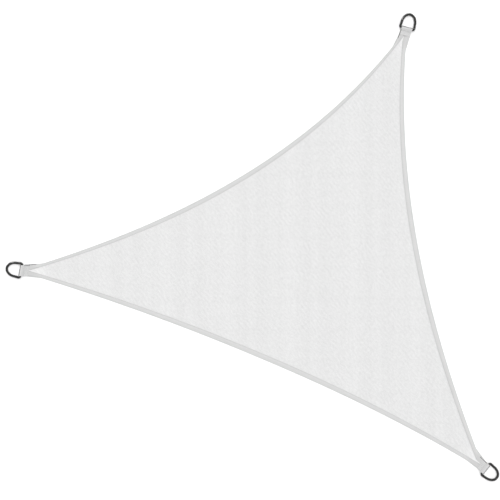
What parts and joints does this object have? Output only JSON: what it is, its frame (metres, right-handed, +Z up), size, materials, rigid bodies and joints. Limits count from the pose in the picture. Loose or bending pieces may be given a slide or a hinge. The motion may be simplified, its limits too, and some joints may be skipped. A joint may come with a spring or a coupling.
{
  "type": "triangular shade sail",
  "caption": "White triangular shade sail of knitted cloth with inward-curving taped edges, and a webbing strap and D-ring at each corner.",
  "frame": {"origin": "middle of the sail's plan, on the surface it lies on", "axes": "+X along the base edge, from the left ring to the right ring; +Y towards the top corner; +Z up out of the taped face"},
  "size_m": [2.1216, 1.5812, 0.0133],
  "materials": {
    "cloth": "matt knitted shade cloth",
    "tape": "matt woven binding tape",
    "webbing": "dull woven webbing",
    "steel": "polished stainless steel"
  },
  "bodies": {
    "root": {"panel": "cloth", "edge_tape_left": "tape", "edge_tape_base": "tape", "edge_tape_right": "tape", "corner_strap_top": "webbing", "corner_strap_left": "webbing", "corner_strap_right": "webbing", "ring_top": "steel", "ring_left": "steel", "ring_right": "steel"}
  },
  "joints": []
}
